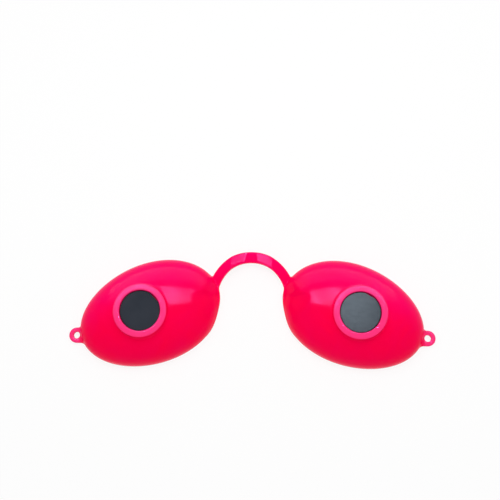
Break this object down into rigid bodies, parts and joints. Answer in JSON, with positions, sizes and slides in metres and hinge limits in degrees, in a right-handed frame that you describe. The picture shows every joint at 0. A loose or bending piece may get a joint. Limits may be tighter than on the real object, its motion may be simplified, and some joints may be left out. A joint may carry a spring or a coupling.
{
  "type": "tanning goggles",
  "caption": "Small pink eye shields for sunbeds: egg-shaped domed cups with raised round dark lenses, joined by a thin flexible arched nose bridge, with a holed strap tab at each temple.",
  "frame": {"origin": "on the plane that the rims stand on, at the middle of the footprint, between the cups", "axes": "+X from side to side, towards the wearer's left; +Y from cheek to brow; +Z out of the face, which is up as the goggles lie on their rims"},
  "size_m": [0.1092, 0.0344, 0.0127],
  "materials": {
    "frame": "gloss",
    "lens": "gloss, nearly opaque"
  },
  "bodies": {
    "bridge": {"bridge_crown": "frame"},
    "left_arm": {"left_bridge_arm": "frame"},
    "left_eye": {"left_eyecup": "frame", "left_strap_tab": "frame", "left_lens": "lens"},
    "right_arm": {"right_bridge_arm": "frame"},
    "right_eye": {"right_eyecup": "frame", "right_strap_tab": "frame", "right_lens": "lens"}
  },
  "joints": [
    {"name": "left_wrap", "type": "hinge", "parent": "bridge", "child": "left_arm", "pos_m": [0.0035, 0.0151, 0.003], "axis": [0, 1, 0], "range_deg": [-20, 40], "stiffness_Nm_per_rad": 0.03},
    {"name": "left_spread", "type": "hinge", "parent": "left_arm", "child": "left_eye", "pos_m": [0.00907, 0.01137, 0.001], "axis": [0, 0, 1], "range_deg": [-8, 8], "stiffness_Nm_per_rad": 0.05},
    {"name": "right_wrap", "type": "hinge", "parent": "bridge", "child": "right_arm", "pos_m": [-0.0035, 0.0151, 0.003], "axis": [0, -1, 0], "range_deg": [-20, 40], "stiffness_Nm_per_rad": 0.03},
    {"name": "right_spread", "type": "hinge", "parent": "right_arm", "child": "right_eye", "pos_m": [-0.00907, 0.01137, 0.001], "axis": [0, 0, -1], "range_deg": [-8, 8], "stiffness_Nm_per_rad": 0.05}
  ]
}
